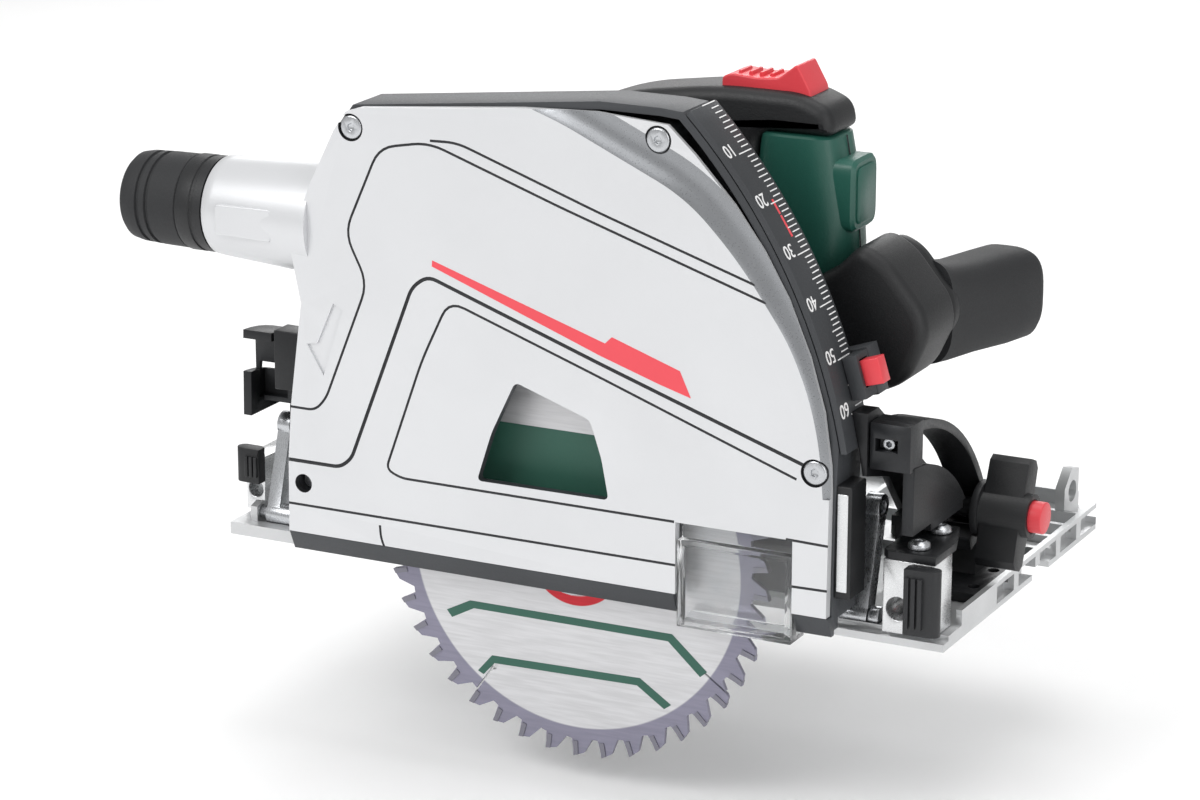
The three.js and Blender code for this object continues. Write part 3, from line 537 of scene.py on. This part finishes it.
def guard_cover():
    cover = paint(prism("guard_cover_panel", COVER, COVER_Y, COVER_BACK), MATERIALS["silver"])
    cove_radius, cove_depth, ledge_depth = 13.0, 2.9, 2.0
    cove_line = rounded([(*p, 0) for p in COVE], 26, steps=7)
    cove_path = [Vector((p.x * MM, COVER_Y + (cove_depth - cove_radius) * MM, p.y * MM)) for p in cove_line]
    ledge_outline = [(p.x, p.y) for p in cove_line] + [(130, 60), (130, 215), (-12, 215)]
    outside, through = COVER_Y - 0.002, COVER_BACK + 0.002
    ledge = prism("ledge", ledge_outline, outside, COVER_Y + ledge_depth * MM)
    paint(ledge, MATERIALS["silver"])
    # The cove's cut faces take this painted dark reflection and shade from the cutter's material.
    cove = paint(sweep("cove", cove_path, cove_radius * MM, 96), COVE_PAINTED_REFLECTION)
    sight = paint(prism("sight", [(p.x, p.y) for p in rounded([(*p, 0) for p in SIGHT], 2.5, True)],
                        outside, through), MATERIALS["anthracite"])
    # The pivot hole, screw recesses and screw holes leave their walls in painted shade.
    pivot = paint(disc("pivot", (-112, 33.7), 3.8, outside, through), GROOVE_SHADE_AND_SEAM)
    floors = (0.0016, 0.0031, 0.0016)
    recesses = [
        paint(disc("recess", centre, 5.4, outside, COVER_Y + floor), GROOVE_SHADE_AND_SEAM)
        for centre, floor in zip(SCREWS, floors)
    ]
    holes = [paint(disc("hole", centre, 2.4, outside, through), GROOVE_SHADE_AND_SEAM) for centre in SCREWS]
    carve(cover, [ledge, cove, sight, pivot] + recesses + holes)
    carve(cover, [groove_cutter(n, p, 0.55 * MM) for n, p in GROOVES.items()])
    arrow = paint(prism("arrow", ARROW, outside, COVER_Y + 0.0009), MATERIALS["silver"])
    carve(cover, [groove_cutter("thick", THICK_GROOVE, 0.8 * MM), arrow])
    smooth(cover, 30)
    fit(cover, "guard", "silver", "guard_cover")


def guard_print():
    """The stripe painted on the cover, a thin skin that follows its face."""
    stripe = paint(prism("cover_stripe", STRIPE, COVER_Y - 0.00008, COVER_Y + 0.0003), PRINT_RED)
    fit(stripe, "guard", "red")


# ------------------------------------------------------------------ depth scale

def on_scale(angle, y, lift=0.0):
    """A point on the scale at an angle about the pivot, y counted from the blade, lift above the face."""
    a = math.radians(angle)
    radius = SCALE_R + lift
    return Vector((PIVOT.x + radius * math.cos(a), BLADE_Y + y * MM, PIVOT.z + radius * math.sin(a)))


def scale_angle(depth):
    """Where a cutting depth reads on the scale."""
    reach = math.hypot(PIVOT.x, PIVOT.z - ARBOR.z)
    lowest = math.asin((ARBOR.z - PIVOT.z) / reach)
    height = (0.0825 - depth * MM - PIVOT.z) / reach
    return math.degrees(math.asin(height) - lowest) + 10.7


def tick(points, faces, angle, y0, y1, half=0.055):
    start = len(points)
    for lift in (-0.0001, 0.00012):
        corners = ((-half, y0), (half, y0), (half, y1), (-half, y1))
        points += [on_scale(angle + d, y, lift) for d, y in corners]
    faces += [(start + 3, start + 2, start + 1, start), (start + 4, start + 5, start + 6, start + 7)]
    faces += [(start + i, start + (i + 1) % 4, start + (i + 1) % 4 + 4, start + i + 4) for i in range(4)]


def depth_ticks():
    """A line for every millimetre, longer for each five and longest for each ten, and the red mark."""
    points, faces = [], []
    for depth in range(0, 67):
        inner = {0: -2.2, 5: 0.6}.get(depth % 10, 2.4)
        tick(points, faces, scale_angle(depth), inner, 8.2)
    ticks = paint(from_faces("depth_ticks", points, faces), WHITE)
    fix_normals(ticks)
    fit(ticks, "guard", "silver")
    points, faces = [], []
    tick(points, faces, scale_angle(23), -0.2, 1.2, 1.9)
    mark = paint(from_faces("depth_red_mark", points, faces), PRINT_RED)
    fix_normals(mark)
    fit(mark, "guard", "red")


def depth_numbers():
    for depth in range(10, 70, 10):
        curve = bpy.data.curves.new(f"number_{depth}", "FONT")
        curve.body = str(depth)
        curve.size = 0.0076
        curve.align_x = "CENTER"
        curve.align_y = "CENTER"
        curve.extrude = 0.0001
        source = add_object("number_source", curve)
        graph = bpy.context.evaluated_depsgraph_get()
        mesh = bpy.data.meshes.new_from_object(source.evaluated_get(graph))
        bpy.data.objects.remove(source)
        a = math.radians(scale_angle(depth) + 0.7)
        outward = Vector((math.cos(a), 0, math.sin(a)))
        up = Vector((math.sin(a), 0, -math.cos(a)))
        place = Matrix((Vector((0, -1, 0)), up, outward)).transposed().to_4x4()
        place.translation = on_scale(math.degrees(a), -7.2, 0.00006)
        mesh.transform(place)
        number = paint(add_object(f"depth_number_{depth}", mesh), WHITE)
        fit(number, "guard", "silver")


# ------------------------------------------------------------------ blade

def blade_prints():
    bands = {
        "blade_band_high": [
            (-56.6, -14.6), (-46.2, -9.2), (41.7, -8.9), (56.6, -21.9),
            (53.7, -24.4), (40, -12.1), (-44.5, -12.2), (-54.3, -17.4),
        ],
        "blade_band_low": [
            (-42.9, -37.8), (-36.6, -30.5), (28.1, -29.1), (41.5, -37.9),
            (38.5, -40.1), (26.8, -32.3), (-35.5, -33.6), (-40.4, -39),
        ],
    }
    bands["blade_label"] = [(-48, 42), (-44, 52), (-36, 66), (28, 66), (36, 52), (40, 42)]
    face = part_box("saw_blade")[0].y
    for name, outline in bands.items():
        band = paint(prism(name, outline, face - 0.00008, face + 0.0002), PRINT_GREEN)
        fit(band, "arbor", "green")


def carbide_tips():
    """A brazed tip on the leading face of every tooth, wider than the disc."""
    teeth, radius = 42, 0.0825
    points, faces = [], []
    for i in range(teeth):
        a = math.radians(192.49 + i * 360 / teeth)
        out = Vector((math.cos(a), 0, math.sin(a)))
        side = Vector((-math.sin(a), 0, math.cos(a)))
        start = len(points)
        for y in (-0.0013, 0.0013):
            for along, up in ((-0.0001, 0.0), (0.0019, -0.0006), (0.0017, -0.0062), (-0.0003, -0.0062)):
                points.append(ARBOR + out * (radius + up - 0.0001) + side * along + Vector((0, y, 0)))
        faces += [(start, start + 1, start + 2, start + 3), (start + 7, start + 6, start + 5, start + 4)]
        faces += [(start + k, start + k + 4, start + (k + 1) % 4 + 4, start + (k + 1) % 4) for k in range(4)]
    carbide = finish_of("carbide", "77767f", 0.36, 0.7, 900, 0.08, 1.3)
    tips = paint(from_faces("carbide_tips", points, faces), carbide)
    fix_normals(tips)
    fit(tips, "arbor", "blade_steel")


# ------------------------------------------------------------------ grips and spout

def add(piece, body, slot_name, *nodes):
    """Paints, smooths and fits one finished piece."""
    paint(piece, MATERIALS[slot_name])
    smooth(piece, 40)
    return fit(piece, body, slot_name, *nodes)


def handle_pieces():
    outline = [
        (84.5, 179.6), (82.5, 190), (70, 195), (35, 195), (-3, 189.5), (-40, 175), (-60, 150),
        (-65, 118), (-60, 92), (-48, 76), (-31, 67), (-25, 86), (-14, 101), (-31, 108),
        (-37.5, 120), (-36, 134), (-24, 148), (0, 156), (40, 160), (52, 163), (53, 179.6),
    ]
    add(soft_plate("handle_shell", outline, 46.2, 73.8, 5, 12), "head", "black", "handle")
    slider = [
        (36, 193), (73, 190), (73, 195), (67, 205.5), (59.5, 199.5), (50, 198.8), (40, 199.6), (36, 198),
    ]
    add(soft_plate("slider_wedge", slider, 51.4, 68.6, 0.8, 1.6), "release_slider", "red", "release_slider")
    for i in range(4):
        x = 42 + 4.4 * i
        rib = [(x - 1.1, 198.2), (x + 1.1, 198.2), (x + 0.6, 200.4), (x - 0.6, 200.4)]
        add(soft_plate(f"slider_rib_{i}", rib, 55, 65, 0.4, 0.3), "release_slider", "red")


def column_pieces():
    # Height, rear and front in x, and half the width.
    levels = [
        (127, 48, 89.5, 15.2), (136, 49, 90.5, 15.4), (150, 50, 89.5, 15),
        (166, 51, 86.5, 14.6), (178.4, 52, 84, 14.2), (179.2, 53, 83, 13.4),
    ]
    rings = [
        oval(((rear + front) / 2, 60, z), X, Y, (front - rear) / 2, half, 3.4)
        for z, rear, front, half in levels
    ]
    add(loft("column_shell", rings), "head", "green")
    boss_steps = ((80, 0), (91, 0), (92.4, 1.2))
    boss = [oval((x, 60, 157), Y, Z, 11.5 - cut, 14 - cut, 6) for x, cut in boss_steps]
    add(loft("label_boss", boss), "head", "green")
    face_steps = ((90, 0), (92.9, 0), (93.3, 0.5))
    face = [oval((x, 60, 157), Y, Z, 8.6 - cut, 11 - cut, 7) for x, cut in face_steps]
    add(loft("label_face", face), "head", "green", "label_plate")
    seam_line = [at(88.4, 60, 129), at(90.8, 60, 136), at(89.7, 60, 150), at(84.4, 60, 178.6)]
    seam = sweep("column_seam", seam_line, 0.25 * MM, 8)
    fit(paint(seam, GROOVE_SHADE_AND_SEAM), "head", "black")


def motor_pieces():
    profile = [
        (38.9, 34), (38.9, 41), (40, 42), (62, 42), (62.5, 41.4),
        (64, 41.4), (64.5, 42), (149, 42), (150, 41), (150, 34),
    ]
    rings = [oval((13.36, y, 59.95), X, Z, r, r, 2, 96) for y, r in profile]
    add(loft("motor_barrel", rings), "head", "green", "motor_housing")
    web = [(2, 94), (46, 64), (84, 84), (89.3, 100), (89.3, 128), (52, 130), (44, 116), (4, 104)]
    add(soft_plate("motor_web", web, 46.5, 73.5, 4, 4), "head", "green")


def front_grip_pieces():
    body = [
        (80, 92), (106, 84.8), (121, 92), (129, 110), (127, 120), (112, 138), (101, 143.5), (91, 133), (82, 128),
    ]
    add(soft_plate("front_body_shell", body, 34, 67, 5, 7), "head", "black", "front_body")
    collar = [(92, 96), (107, 87), (119, 93), (127, 110), (125, 119), (111, 136), (101, 140), (93, 132)]
    add(soft_plate("front_body_collar", collar, 67.8, 76, 3, 7), "head", "black")
    # Place along y, the centre in x and z, and half the section in x and z.
    stations = [
        (72, 109, 110, 15.5, 21), (80, 111, 108, 15, 19.5),
        (96, 116, 107, 14.4, 18.4), (116, 121.5, 106.5, 14.8, 18.8),
        (127, 124.5, 106.5, 15, 18.6), (130.5, 125.5, 106.5, 13.5, 17), (131.6, 126, 106.5, 10.5, 14),
    ]
    rings = [oval((x, y, z), X, Z, rx, rz, 3.2) for y, x, z, rx, rz in stations]
    add(loft("front_grip_sleeve", rings), "head", "rubber", "front_grip")


def spout_pieces():
    axis = (4, 137)
    sleeve = [
        (-160, 15), (-193, 14.4), (-196, 13.5), (-196.5, 16), (-195, 17.4), (-191, 18.2),
        (-188.4, 18.3), (-188, 17.5), (-186.8, 17.5), (-186.4, 18.4), (-184, 18.5), (-183.6, 17.7),
        (-182.4, 17.7), (-182, 18.6), (-170, 18.8), (-169.4, 18.2), (-160, 18.2),
    ]
    add(lathe("nozzle_sleeve", axis, sleeve), "dust_nozzle", "rubber", "dust_nozzle")
    ring = [
        (-169.2, 14), (-169.2, 18.9), (-168.6, 19.2), (-163, 19.2), (-162.6, 18.7),
        (-161.4, 18.7), (-161, 19.2), (-157.4, 19.2), (-157, 14),
    ]
    add(lathe("nozzle_ring", axis, ring), "dust_nozzle", "black")
    tube = [
        (-156.8, 14), (-156.8, 19), (-156.2, 19.6), (-152, 20),
        (-130, 21.4), (-112, 22.7), (-108, 22.9), (-108, 14),
    ]
    add(lathe("spout_tube", axis, tube), "guard", "silver", "dust_spout")
    panel = [(-149, 130.5), (-124, 130), (-124, 143), (-149, 142.5)]
    add(soft_plate("spout_panel", panel, -17.5, -14, 0.5, 1.5), "guard", "silver")
    ear = [(-120, 121), (-116, 112), (-110, 106), (-106, 106), (-104, 120)]
    add(soft_plate("spout_ear", ear, 10, 15, 1.2, 2.4), "guard", "silver")


def guard_trim():
    post = [(112.9, 20), (119.4, 20), (119.4, 64), (112.9, 64)]
    add(soft_plate("guard_front_post", post, -11.4, 3, 0.8, 1), "guard", "black")
    strip = [(114, 23), (118.2, 23), (118.2, 61), (114, 61)]
    add(soft_plate("guard_front_strip", strip, -11.8, -9, 0.3, 0.5), "guard", "clamp_metal")


def base_details():
    """Pockets between ribs along the front rim of the sole."""
    base = tidy_copy("base_plate")
    paint(base, MATERIALS[SLOT_OF["base_plate"]])
    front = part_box("base_plate")[1].x / MM
    back, beyond = front - 4.5, front + 2
    outline = [(back, 2.2), (beyond, 2.2), (beyond, 9), (back, 9)]
    count, first, pitch, width = 5, 58, 23, 18
    pockets = []
    for i in range(count):
        start = first + pitch * i
        pocket = prism("pocket", outline, BLADE_Y + start * MM, BLADE_Y + (start + width) * MM)
        pockets.append(paint(pocket, MATERIALS["casting"]))
    carve(base, pockets)
    base.name = "base_plate_cast"
    smooth(base, 30)
    fit(base, "base", SLOT_OF["base_plate"], "base_plate")


# ------------------------------------------------------------------ stage

def area_light(name, place, target, size, power):
    data = bpy.data.lights.new(name, "AREA")
    data.energy = power
    data.shape = "RECTANGLE"
    data.size, data.size_y = size
    lamp = bpy.data.objects.new(name, data)
    bpy.context.scene.collection.objects.link(lamp)
    lamp.location = place
    lamp.rotation_euler = (Vector(target) - Vector(place)).to_track_quat("-Z", "Y").to_euler()


def add_stage():
    """A pale floor under the blade, an even white surround and four soft lamps."""
    world = bpy.data.worlds.new("world")
    world.use_nodes = True
    world.node_tree.nodes["Background"].inputs["Color"].default_value = (1, 1, 1, 1)
    world.node_tree.nodes["Background"].inputs["Strength"].default_value = 0.5
    bpy.context.scene.world = world
    low = CAD_BOX[0][2] - 0.012
    floor = from_faces("floor", [(-6, -6, low), (6, -6, low), (6, 6, low), (-6, 6, low)], [(0, 1, 2, 3)])
    paint(floor, finish_of("floor", "ffffff", 0.7, 0.0, 40, 0.02, 1.0, cloud=0.01))
    area_light("key", (-0.7, -1.3, 1.3), (0, 0, 0.08), (1.1, 0.9), 16)
    area_light("fill", (1.5, -0.9, 0.7), (0, 0, 0.08), (1.0, 1.2), 8)
    area_light("top", (0.1, 0.2, 1.6), (0, 0, 0.08), (1.4, 1.0), 10)
    area_light("back", (-0.6, 1.5, 0.9), (0, 0, 0.1), (1.2, 0.8), 9)
    bpy.context.scene.view_settings.view_transform = "Standard"


add_camera()
guard_cover()
guard_print()
depth_ticks()
depth_numbers()
blade_prints()
carbide_tips()
handle_pieces()
column_pieces()
motor_pieces()
front_grip_pieces()
spout_pieces()
guard_trim()
base_details()

WIDE_EDGES = {"motor_cap": 1.2, "front_bevel_knob": 0.9}
UNCHANGED = {"saw_blade", "spindle_gear", "idler_gear"}
REMADE = {
    "guard_cover", "handle", "release_slider", "label_plate", "front_body", "front_grip",
    "dust_nozzle", "dust_spout", "base_plate", "motor_housing",
}
for node_name in sorted(frame["nodes"]):
    if node_name in REMADE:
        paint(frame["nodes"][node_name], MATERIALS[SLOT_OF[node_name]])
        continue
    if node_name in UNCHANGED:
        paint(frame["nodes"][node_name], MATERIALS[SLOT_OF[node_name]])
    else:
        piece = refine(node_name, WIDE_EDGES.get(node_name, 0.35))
        if node_name == "cover_screw_top":
            piece.data.transform(Matrix.Translation((0, 0.0014, 0)))

add_stage()
